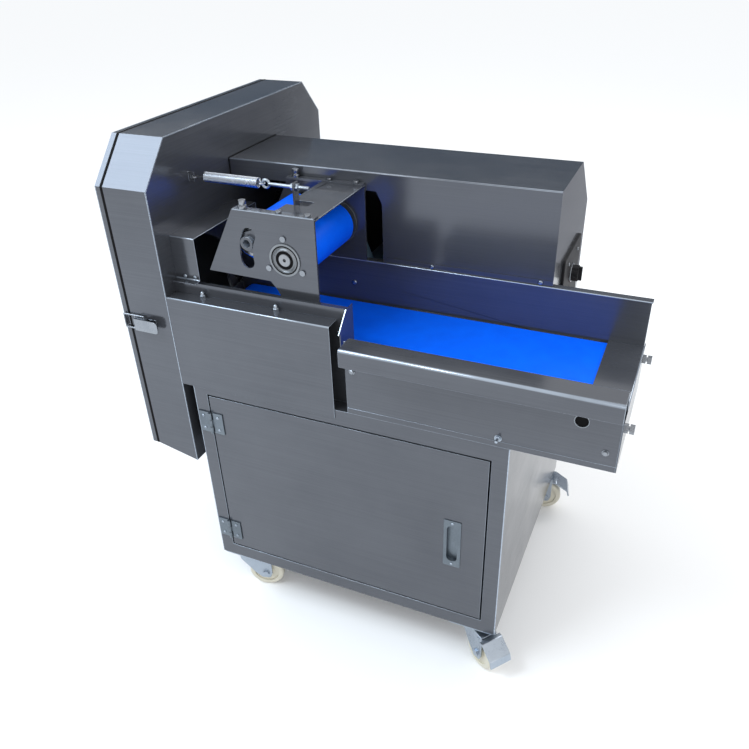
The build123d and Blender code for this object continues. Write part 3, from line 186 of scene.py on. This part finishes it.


# The third sheet colour is a painted highlight for the folds and edges
SHEET_DARK, SHEET_LIGHT, SHEET_PAINTED_HIGHLIGHT = (0.09, 0.096, 0.111), (0.121, 0.128, 0.145), (0.4, 0.46, 0.54)
SHEET_ROUGH = (0.14, 0.21)
CHAMFER = (0.7324, 0.6808)
FINISHES = {
    "stainless_sheet": brushed("brushed_stainless", SHEET_DARK, SHEET_LIGHT, SHEET_ROUGH,
                               painted_highlight=SHEET_PAINTED_HIGHLIGHT),
    "chamfered_sheet": brushed("chamfered_stainless", SHEET_DARK, SHEET_LIGHT, SHEET_ROUGH,
                               painted_highlight=SHEET_PAINTED_HIGHLIGHT, slant=CHAMFER),
    # A lighter, bluer copy of the sheet steel for the fold beads: a painted highlight along the folds
    "fold_highlight_steel": brushed("fold_highlight_steel", (0.32, 0.37, 0.44), (0.46, 0.52, 0.6), (0.2, 0.3), metallic=0.7),
    "turned_steel": brushed("turned_steel", (0.24, 0.25, 0.265), (0.37, 0.38, 0.4), (0.18, 0.3), (600, 8, 8),
                            (600, 8, 8), 0.85),
    "zinc_fittings": speckled("zinc_plate", (0.3, 0.345, 0.405), (0.44, 0.49, 0.55), (0.22, 0.38), 500,
                              1.0, 0.05),
    "dull_zinc": speckled("dull_zinc", (0.11, 0.13, 0.15), (0.2, 0.23, 0.26), (0.3, 0.42), 500, 1.0, 0.05),
    "screw_steel": speckled("screw_steel", (0.2, 0.215, 0.24), (0.33, 0.35, 0.38), (0.2, 0.34), 500,
                            1.0, 0.05),
    "bearing_steel": speckled("bearing_steel", (0.17, 0.185, 0.2), (0.27, 0.285, 0.305), (0.28, 0.42), 600,
                              0.8, 0.08),
    "cast": speckled("cast_grey", (0.15, 0.16, 0.17), (0.23, 0.24, 0.25), (0.45, 0.65), 700, 0.6, 0.25),
    "motor_paint": speckled("motor_paint", (0.05, 0.09, 0.13), (0.075, 0.12, 0.17), (0.35, 0.5), 600,
                            relief=0.2),
    "belt": speckled("food_belt", (0.0, 0.112, 0.88), (0.0, 0.143, 1.0), (0.42, 0.55), 900, relief=0.12,
                     depth=0.0002, specular=0.12),
    "spring_wire": speckled("spring_wire", (0.36, 0.4, 0.46), (0.54, 0.58, 0.64), (0.2, 0.3), 500, 1.0, 0.04),
    "hook_wire": speckled("hook_wire", (0.2, 0.21, 0.23), (0.32, 0.335, 0.36), (0.25, 0.4), 500, 1.0, 0.05),
    "black_rubber": speckled("black_rubber", (0.003, 0.003, 0.0035), (0.009, 0.009, 0.01), (0.55, 0.75), 900,
                             specular=0.06),
    "wheel": speckled("cast_polyurethane", (0.6, 0.57, 0.46), (0.73, 0.7, 0.6), (0.3, 0.45), 300),
    "black_plastic": speckled("black_plastic", (0.012, 0.012, 0.014), (0.024, 0.024, 0.027), (0.45, 0.6),
                              1200, specular=0.25),
    "red_plastic": speckled("red_plastic", (0.5, 0.012, 0.008), (0.62, 0.022, 0.014), (0.16, 0.26), 400),
}
NODE_FINISHES = {
    "chamfered_sheet": ("cutter_housing", "housing_lid", "motor_box_cover"),
    "zinc_fittings": ("caster_plates", "spring_eyebolt", "take_up_blocks", "tension_spring"),
    "dull_zinc": ("cabinet_hinge_leaves", "door_hinge_leaves", "door_pull"),
    "screw_steel": ("tension_bolts", "latch_base", "latch_bail", "latch_lever", "press_screws"),
    "bearing_steel": ("flange_bearings",),
    "turned_steel": ("drive_roller", "tail_roller", "entry_roller", "nip_roller", "knife_shaft", "knife_disc",
                     "knives", "motor_shaft", "lid_hinge_posts"),
    "cast": ("knife_bearing_housing", "knife_pulley", "motor_pulley"),
    "motor_paint": ("knife_motor", "conveyor_gearmotor"),
    "belt": ("lower_belt", "press_belt"),
    "black_rubber": ("lid_seal", "drive_belt"),
    "black_plastic": ("control_panel", "speed_knob", "cable_gland"),
    "red_plastic": ("stop_button",),
}
ROUNDED = ("stainless_sheet", "chamfered_sheet", "zinc_fittings", "dull_zinc", "screw_steel")
for node_name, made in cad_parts.items():
    finish_name = "stainless_sheet"
    for name, nodes in NODE_FINISHES.items():
        if node_name in nodes:
            finish_name = name
    if node_name.startswith(("caster_fork", "brake_pedal")):
        finish_name = "zinc_fittings"
    if node_name.startswith("caster_wheel"):
        finish_name = "wheel"
    made.data.materials.clear()
    made.data.materials.append(FINISHES[finish_name])
    if finish_name in ROUNDED:
        weld = made.modifiers.new("weld", "WELD")
        weld.merge_threshold = 0.00001
        edge = made.modifiers.new("edge", "BEVEL")
        edge.width = 0.0007
        edge.segments = 2
        edge.limit_method = "ANGLE"
        edge.angle_limit = math.radians(40)
        edge.harden_normals = True

# Small pieces that the frame doesn't have


def turned(shape, profile, place, direction, sides=20):
    """Adds a turned form. profile holds (radius, height) in mm, from the axis and back or round a ring."""
    turn = Vector(direction).to_track_quat("Z", "Y")
    rings = []
    for radius, height in profile:
        ring = []
        for step in range(sides if radius else 1):
            angle = 2 * math.pi * step / sides
            point = Vector((radius * math.cos(angle), radius * math.sin(angle), height))
            ring.append(shape.verts.new((Vector(place) + turn @ point) * MM))
        rings.append(ring)
    following = rings[1:] + (rings[:1] if profile[0][0] else [])
    for lower, upper in zip(rings, following):
        for step in range(sides):
            after = step + 1
            corners = [lower[step % len(lower)], lower[after % len(lower)],
                       upper[after % len(upper)], upper[step % len(upper)]]
            shape.faces.new(list(dict.fromkeys(corners)))


def tube(shape, points, radius, sides=8):
    """Adds a round bar or wire along a line of points in mm, closed at both ends."""
    path = [Vector(point) * MM for point in points]
    rings = []
    beside = (path[1] - path[0]).orthogonal().normalized()
    for index, here in enumerate(path):
        ahead = (path[min(index + 1, len(path) - 1)] - path[max(index - 1, 0)]).normalized()
        beside = (beside - ahead * beside.dot(ahead)).normalized()
        over = ahead.cross(beside)
        angles = [2 * math.pi * step / sides for step in range(sides)]
        rings.append([shape.verts.new(here + (beside * math.cos(a) + over * math.sin(a)) * radius * MM)
                      for a in angles])
    skin(shape, rings)


def skin(shape, rings):
    """Joins rings of points one after another and closes both ends."""
    for first, second in zip(rings, rings[1:]):
        for step in range(len(first)):
            after = (step + 1) % len(first)
            shape.faces.new((first[step], first[after], second[after], second[step]))
    shape.faces.new(rings[0])
    shape.faces.new(rings[-1])


def slab(shape, low, high):
    """Adds a flat strip between two corners in mm, with its long edges left for the bevel to round."""
    made = bmesh.ops.create_cube(shape, size=1.0)["verts"]
    for vertex in made:
        vertex.co = Vector([(a + b) / 2 + c * (b - a) for a, b, c in zip(low, high, vertex.co)]) * MM


def finished(name, shape, finish, body=None):
    """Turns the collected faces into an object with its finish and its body."""
    bmesh.ops.recalc_face_normals(shape, faces=shape.faces)
    for edge in shape.edges:
        edge.smooth = edge.calc_face_angle(0.0) < math.radians(35)
    for face in shape.faces:
        face.smooth = True
    data = bpy.data.meshes.new(name)
    shape.to_mesh(data)
    shape.free()
    data.materials.append(FINISHES[finish])
    made = bpy.data.objects.new(name, data)
    bpy.context.scene.collection.objects.link(made)
    if body:
        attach(made, body)
    return made


def pan_screw(shape, place, direction, size):
    turned(shape, [(0, -0.3), (size, -0.3), (size, 0.35 * size), (0.8 * size, 0.62 * size),
                   (0.4 * size, 0.68 * size), (0.34 * size, 0.3 * size), (0, 0.3 * size)], place, direction)


def hex_bolt(shape, place, direction, size):
    turned(shape, [(0, -0.3), (1.3 * size, -0.3), (1.3 * size, 0.8), (0, 0.8)], place, direction)
    turned(shape, [(0, 0.6), (size, 0.6), (size, 0.6 + 0.6 * size), (0.85 * size, 0.6 + 0.75 * size),
                   (0, 0.6 + 0.75 * size)], place, direction, 6)


def cap_nut(shape, place, direction, size):
    turned(shape, [(0, -0.3), (size, -0.3), (size, 0.8 * size), (0.82 * size, size), (0, size)],
           place, direction, 6)
    turned(shape, [(0, 0.5 * size), (0.75 * size, 0.5 * size), (0.75 * size, 1.4 * size),
                   (0.62 * size, 1.9 * size), (0.35 * size, 2.2 * size), (0, 2.3 * size)], place, direction)


def stud_and_nut(shape, place, direction, size):
    hex_bolt(shape, place, direction, size)
    thread = [(0, 0.5)]
    for turn in range(14):
        thread.append((0.52 * size if turn % 2 else 0.46 * size, 3.5 + 0.6 * turn))
    turned(shape, thread + [(0, 3.5 + 0.6 * 14)], place, direction, 14)


def box(node):
    """A node's lowest and highest corners at rest, in mm."""
    return [[value / MM for value in corner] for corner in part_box(node)]


def middle(node):
    """The middle of a node's box, in mm."""
    return [(low + high) / 2 for low, high in zip(*box(node))]


TO_FRONT, TO_END, UP = (0, -1, 0), (1, 0, 0), (0, 0, 1)
LIP_DEPTH = 16.0
HOOD_FLANGE = 15.0
HINGE_THICKNESS, HINGE_HEIGHT, HINGE_SCREW_IN, HINGE_SCREW_RISE = 2.5, 46.0, 10.25, 14.0
cabinet_low, cabinet_high = box("cabinet_shell")
trough_low, trough_high = box("trough")
housing_low, housing_high = box("cutter_housing")
lid_low, lid_high = box("housing_lid")
cover_low, cover_high = box("motor_box_cover")
guard_low, guard_high = box("front_guard")
hood_low, hood_high = box("throat_hood")
plates_low, plates_high = box("press_side_plates")
leaf_low, leaf_high = box("cabinet_hinge_leaves")
door_leaf_right = box("door_hinge_leaves")[1][0]
panel_face = box("control_panel")[1][0]
front = cabinet_low[1]
trough_end, trough_bottom, lip_top = trough_high[0], trough_low[2], trough_high[2]
trough_back = trough_high[1] - LIP_DEPTH
hinge_face = front - HINGE_THICKNESS
hinge_middles = (leaf_low[2] + HINGE_HEIGHT / 2, leaf_high[2] - HINGE_HEIGHT / 2)
hinge_rows = [z + side for z in hinge_middles for side in (-HINGE_SCREW_RISE, HINGE_SCREW_RISE)]
pull_x, _, pull_z = middle("door_pull")
pull_face = box("door_pull")[0][1]
_, panel_y, panel_z = middle("control_panel")
_, knob_y, knob_z = middle("speed_knob")
roller_x, _, roller_z = middle("entry_roller")
FASTENERS = [
    ("hinge_screws_cabinet", "base", pan_screw, 2.6, TO_FRONT, "zinc_fittings",
     [(leaf_low[0] + HINGE_SCREW_IN, hinge_face, z) for z in hinge_rows]),
    ("hinge_screws_door", "door", pan_screw, 2.6, TO_FRONT, "zinc_fittings",
     [(door_leaf_right - HINGE_SCREW_IN, hinge_face, z) for z in hinge_rows]),
    ("pull_screws", "door", pan_screw, 2.4, TO_FRONT, "zinc_fittings",
     [(pull_x, pull_face, pull_z - 48), (pull_x, pull_face, pull_z + 48)]),
    ("guard_cap_nuts", "base", cap_nut, 5.0, UP, "zinc_fittings",
     [(guard_low[0] + along, guard_high[1] - 6.35, guard_high[2]) for along in (61.75, 207)]),
    ("trough_bolts", "base", hex_bolt, 4.2, TO_FRONT, "screw_steel",
     [(trough_end - 430.5, front, trough_bottom + 84.5), (trough_end - 19.5, front, trough_bottom + 33)]),
    ("trough_stud", "base", stud_and_nut, 4.6, TO_FRONT, "zinc_fittings",
     [(trough_end - 181.5, front, trough_bottom + 16.5)]),
    ("wall_bolt", "base", pan_screw, 4.0, TO_FRONT, "zinc_fittings",
     [(roller_x + 31.5, trough_back, lip_top - 47)]),
    ("box_screws", "base", pan_screw, 3.6, TO_FRONT, "zinc_fittings",
     [(cover_high[0] - along, cover_low[1], lip_top + 5) for along in (216, 21)]),
    ("hood_screws", "base", pan_screw, 3.4, TO_FRONT, "zinc_fittings",
     [(hood_high[0] - along, hood_low[1] + HOOD_FLANGE, hood_low[2] + 14.5) for along in (29, 9)]),
    ("panel_screws", "base", pan_screw, 3.4, TO_END, "screw_steel",
     [(panel_face, panel_y + y, panel_z + z) for y in (-40, 40) for z in (-48, 41)]),
]
for name, body, form, size, direction, finish, places in FASTENERS:
    shape = bmesh.new()
    for place in places:
        form(shape, place, direction, size)
    finished(name, shape, finish, body)

# Rings: round the knob, in the access hole of the trough's front and on the press unit's bearing
knob_base = (panel_face, knob_y, knob_z)
access_hole = (trough_end - 59.25, front, trough_bottom + 80)
bearing = (roller_x, plates_low[1], roller_z)
RINGS = [
    ("knob_rim", "screw_steel", knob_base, TO_END,
     [(15.6, -0.2), (18.2, -0.2), (18.2, 1.4), (17.4, 2.2), (16.0, 2.2), (15.6, 1.8)]),
    ("access_hole_rim", "screw_steel", access_hole, TO_FRONT,
     [(10.0, -0.2), (11.6, -0.2), (11.3, 0.5), (10.3, 0.5)]),
    # A black disc recessed in the access hole: painted shade of the hole's inside
    ("access_hole_shade", "black_rubber", access_hole, TO_FRONT,
     [(0, -1.45), (9.9, -1.45), (9.9, -0.7), (8.9, -1.0), (0, -1.0)]),
    ("bearing_rings", "bearing_steel", bearing, TO_FRONT,
     [(17.3, 0.8), (21.7, 0.8), (21.7, 1.2), (20.6, 1.7), (20.0, 1.2), (19.4, 1.7), (18.8, 1.2), (17.9, 1.9),
      (17.3, 1.9)]),
    # A black ring over the bearing's groove: painted shade of the groove
    ("bearing_groove_shade", "black_rubber", bearing, TO_FRONT,
     [(22.3, 1.9), (24.8, 1.9), (24.6, 2.15), (22.5, 2.15)]),
    ("bearing_shield", "black_rubber", bearing, TO_FRONT,
     [(10.7, 1.9), (16.3, 1.9), (16.1, 2.2), (10.9, 2.2)]),
]
for name, finish, place, direction, profile in RINGS:
    shape = bmesh.new()
    turned(shape, profile, place, direction, 40)
    finished(name, shape, finish, "base")

# Rounded folds along the sharp edges of the sheet pieces, just proud of both faces, in a lighter steel that
# paints a highlight along them
FOLD, INSET = 1.2, 1.0
CHAMFER_IN, CHAMFER_DOWN = 66.0, 71.0
PRESS_FLANGE = 149.5
HOUSING = [(housing_low[1], housing_low[2] + 0.7), (housing_low[1], housing_high[2] - CHAMFER_DOWN),
           (housing_low[1] + CHAMFER_IN, housing_high[2]), (housing_high[1] - CHAMFER_IN, housing_high[2]),
           (housing_high[1], housing_high[2] - CHAMFER_DOWN), (housing_high[1], housing_low[2] + 0.7)]
LID = [(y, max(z, lid_low[2])) for y, z in HOUSING]
housing_middle_y = (housing_low[1] + housing_high[1]) / 2
housing_middle_z = (housing_low[2] + housing_high[2]) / 2


def edge_line(x, points, grow=-INSET):
    """The housing's outline at one x, moved out from its faces by grow."""
    return [(x, y + (grow if y > housing_middle_y else -grow), z + (grow if z > housing_middle_z else 0))
            for y, z in points]


fold_y, fold_back, fold_right, fold_left = (front + INSET, trough_back + INSET, cabinet_high[0] - INSET,
                                            cabinet_low[0] + INSET)
FOLDS = [
    ("lip_fold", "base", [(trough_low[0] + 0.75, fold_back, lip_top - INSET),
                          (trough_end - 0.75, fold_back, lip_top - INSET)]),
    ("housing_fold", "base", edge_line(trough_low[0] - INSET, HOUSING)),
    ("lid_fold", "lid", edge_line(lid_low[0] + INSET, LID)),
    ("cabinet_fold_right", "base", [(fold_right, fold_y, cabinet_low[2] + 1),
                                    (fold_right, fold_y, trough_bottom - 1)]),
    ("cabinet_fold_left", "base", [(fold_left, fold_y, cabinet_low[2] + 1),
                                   (fold_left, fold_y, trough_bottom - 1)]),
    ("trough_fold", "base", [(trough_end - 441.75, fold_y, trough_bottom + 1.3),
                             (trough_end - 2.25, fold_y, trough_bottom + 1.3)]),
    ("press_fold", "base", [(plates_high[0] - along, plates_low[1] + INSET, plates_high[2] - INSET)
                            for along in (PRESS_FLANGE - 1, 1)]),
]
for name, body, line in FOLDS:
    shape = bmesh.new()
    tube(shape, line, FOLD, 12)
    finished(name, shape, "fold_highlight_steel", body)

# The hem along the bottom of the trough's front
shape = bmesh.new()
slab(shape, (trough_end - 442.25, front - 0.7, trough_bottom + 0.5),
     (trough_end - 1.75, front + 0.2, trough_bottom + 11))
hem = finished("trough_hem", shape, "stainless_sheet", "base")
rounding = hem.modifiers.new("edge", "BEVEL")
rounding.width = 0.0006
rounding.segments = 3

# The black rubber trim that covers the seam between the knife housing and its lid
TRIM = [(-4.4, -0.4), (-4.3, 0.1), (-3.8, 0.3), (0.8, 0.3), (1.3, 0.1), (1.4, -0.4)]
seam_x = middle("lid_seal")[0]
shape = bmesh.new()
sections = []
for corner in LID:
    points = [edge_line(seam_x + along, [corner], rise)[0] for along, rise in TRIM]
    sections.append([shape.verts.new(Vector(point) * MM) for point in points])
skin(shape, sections)
finished("seam_trim", shape, "black_rubber", "base")

# A black bead along the seam between the motor box and the knife housing: painted shade of a gap between them
SHADOW_GAP_BEAD = 1.2
shadow_gap_x = cover_low[0] + 0.85
shape = bmesh.new()
tube(shape, [(shadow_gap_x, cover_low[1] + 1.25, cover_high[2] - 31),
             (shadow_gap_x, cover_low[1] + 1.25, cover_high[2] - 1.4),
             (shadow_gap_x, cover_low[1] + 2.85, cover_high[2] + 0.2),
             (shadow_gap_x, cover_high[1] - 103.85, cover_high[2] + 0.2),
             (shadow_gap_x, cover_high[1] - 0.85, cover_high[2] - 100)], SHADOW_GAP_BEAD, 8)
finished("box_shadow_gap", shape, "black_rubber", "base")

# The extension spring: closed coils, a hook through the housing's tab and a hook through the eyebolt
COIL, WIRE, TURN_STEPS = 8.0, 1.0, 14
HOOK_WIRE, LOOP = 1.4, 5.0
COIL_PIECES, COIL_OVERLAP = 5, 2
spring_low, spring_high = box("tension_spring")
_, spring_y, spring_z = middle("tension_spring")
coils_left, coils_right = spring_low[0] + 23, spring_high[0] - 4.7
left_loop, tab_z = housing_high[0], spring_z - 2
right_loop = box("spring_eyebolt")[0][0] + 1.2


def spring_piece(name, line, wire, finish):
    """One stretch of the spring, between the housing and the press frame."""
    shape = bmesh.new()
    tube(shape, line, wire, 12)
    made = finished(name, shape, finish)
    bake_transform(made)
    return made


steps = int((coils_right - coils_left) / (2 * WIRE) * TURN_STEPS)
steps -= steps % COIL_PIECES
coils = []
for step in range(steps + 1):
    angle = 2 * math.pi * step / TURN_STEPS
    coils.append((coils_left + (coils_right - coils_left) * step / steps,
                  spring_y + COIL * math.sin(angle), spring_z + COIL * math.cos(angle)))
stretch = steps // COIL_PIECES
for piece in range(COIL_PIECES):
    line = coils[piece * stretch:(piece + 1) * stretch + 1 + COIL_OVERLAP]
    made = spring_piece(f"spring_coils_{piece + 1}", line, WIRE, "spring_wire")
    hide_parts("tension_spring")


def hook_line(coil_end, straight_end, loop_middle, loop_z):
    """One end hook: out of the last coil, along the axis, and round a loop that lies level."""
    way = 1 if loop_middle > coil_end else -1
    line = [coils[0] if way < 0 else coils[-1], (coil_end + way * 2.5, spring_y, spring_z + COIL * 0.6),
            (coil_end + way * 4.5, spring_y, spring_z), (straight_end, spring_y, loop_z)]
    for step in range(1, 17):
        angle = 2 * math.pi * step / 17
        line.append((loop_middle - way * LOOP * math.cos(angle), spring_y + LOOP * math.sin(angle), loop_z))
    return line


left_hook = hook_line(coils_left, left_loop + LOOP + 1, left_loop, tab_z)
right_hook = hook_line(coils_right, right_loop - LOOP - 1, right_loop, spring_z)
spring_piece("spring_hook_left", left_hook, HOOK_WIRE, "hook_wire")
spring_piece("spring_hook_right", right_hook, HOOK_WIRE, "spring_wire")

# Camera, lamps and floor

camera = bpy.data.objects.new("Camera", bpy.data.cameras.new("Camera"))
bpy.context.scene.collection.objects.link(camera)
camera.location = (0.4744, -1.2203, 1.2576)
camera.rotation_euler = [math.radians(a) for a in (57.51, 1.5, 23.33)]
camera.data.lens = 36.02
camera.data.sensor_width = 36.0
camera.data.shift_x = -0.0056
camera.data.shift_y = 0.0154
bpy.context.scene.camera = camera
bpy.context.scene.view_settings.view_transform = "Standard"


def lamp(name, place, target, size, power, colour=(1.0, 1.0, 1.0)):
    """A square soft box at place, turned to target."""
    data = bpy.data.lights.new(name, "AREA")
    data.size = size
    data.energy = power
    data.color = colour
    made = bpy.data.objects.new(name, data)
    bpy.context.scene.collection.objects.link(made)
    made.location = place
    made.rotation_euler = (Vector(target) - Vector(place)).to_track_quat("-Z", "Y").to_euler()
    return made


lamp("key_lamp", (-2.3, -1.15, 3.0), (-0.3, 0.0, 0.7), 1.6, 52.0, (0.74, 0.87, 1.0))
lamp("edge_lamp", (-1.1, -1.8, 3.3), (0.0, -0.1, 0.7), 0.8, 26.0, (0.84, 0.93, 1.0))
lamp("fill_lamp", (2.4, -1.8, 1.9), (0.1, 0.0, 0.5), 1.8, 13.0)
lamp("back_lamp", (1.6, 2.3, 2.6), (0.0, 0.0, 0.6), 1.2, 20.0)


def seen(tree):
    """1 for what the camera sees, straight, in metal or through something clear, and 0 for the light."""
    path = tree.nodes.new("ShaderNodeLightPath")
    either = combine(tree, "MAXIMUM", path.outputs["Is Camera Ray"], path.outputs["Is Glossy Ray"])
    return combine(tree, "MAXIMUM", either, path.outputs["Is Transmission Ray"])


world = bpy.data.worlds.new("Studio")
bpy.context.scene.world = world
world.use_nodes = True
sky = world.node_tree
ambient = sky.nodes["Background"]
ambient.inputs["Color"].default_value = (0.96, 0.98, 1.0, 1.0)
ambient.inputs["Strength"].default_value = 1.0
backdrop = sky.nodes.new("ShaderNodeBackground")
backdrop.inputs["Color"].default_value = (1.0, 1.0, 1.0, 1.0)
backdrop.inputs["Strength"].default_value = 1.0
choose = sky.nodes.new("ShaderNodeMixShader")
link(sky, seen(sky), choose.inputs["Fac"])
link(sky, ambient.outputs[0], choose.inputs[1])
link(sky, backdrop.outputs[0], choose.inputs[2])
link(sky, choose.outputs[0], sky.nodes["World Output"].inputs["Surface"])


def flat(name, corners, material):
    """A flat quadrilateral that belongs to the studio and not to the machine."""
    data = bpy.data.meshes.new(name)
    data.from_pydata(corners, [], [(0, 1, 2, 3)])
    data.materials.append(material)
    made = bpy.data.objects.new(name, data)
    bpy.context.scene.collection.objects.link(made)
    return made


floor_paint, floor_tree, floor_shader = shader("floor_paper")
floor_tree.nodes.remove(floor_shader)
tones = []
for tone in (0.72, 0.97):
    matt = floor_tree.nodes.new("ShaderNodeBsdfDiffuse")
    matt.inputs["Color"].default_value = (tone, tone, tone, 1.0)
    tones.append(matt.outputs[0])
floor_mix = floor_tree.nodes.new("ShaderNodeMixShader")
link(floor_tree, seen(floor_tree), floor_mix.inputs["Fac"])
link(floor_tree, tones[0], floor_mix.inputs[1])
link(floor_tree, tones[1], floor_mix.inputs[2])
link(floor_tree, floor_mix.outputs[0], floor_tree.nodes["Material Output"].inputs["Surface"])
flat("floor", [(-40, -40, 0), (40, -40, 0), (40, 40, 0), (-40, 40, 0)], floor_paint)


def mirrored_card(name, colour, corners):
    """A card that only shows as a reflection in the machine's sheets."""
    paint, _, paint_shader = shader(name)
    paint_shader.inputs["Base Color"].default_value = (*colour, 1.0)
    paint_shader.inputs["Roughness"].default_value = 0.9
    card = flat(name, corners, paint)
    card.visible_camera = False
    card.visible_diffuse = False
    card.visible_shadow = False


mirrored_card("back_card", (0.06, 0.085, 0.12),
              [(-4.5, 2.4, 0.95), (2.5, 2.4, 0.95), (2.5, 2.3, 1.9), (-4.5, 2.3, 1.9)])
mirrored_card("side_card", (0.33, 0.33, 0.35),
              [(0.35, 1.6, 0.01), (2.6, 1.6, 0.01), (2.6, 1.6, 1.3), (0.35, 1.6, 1.3)])
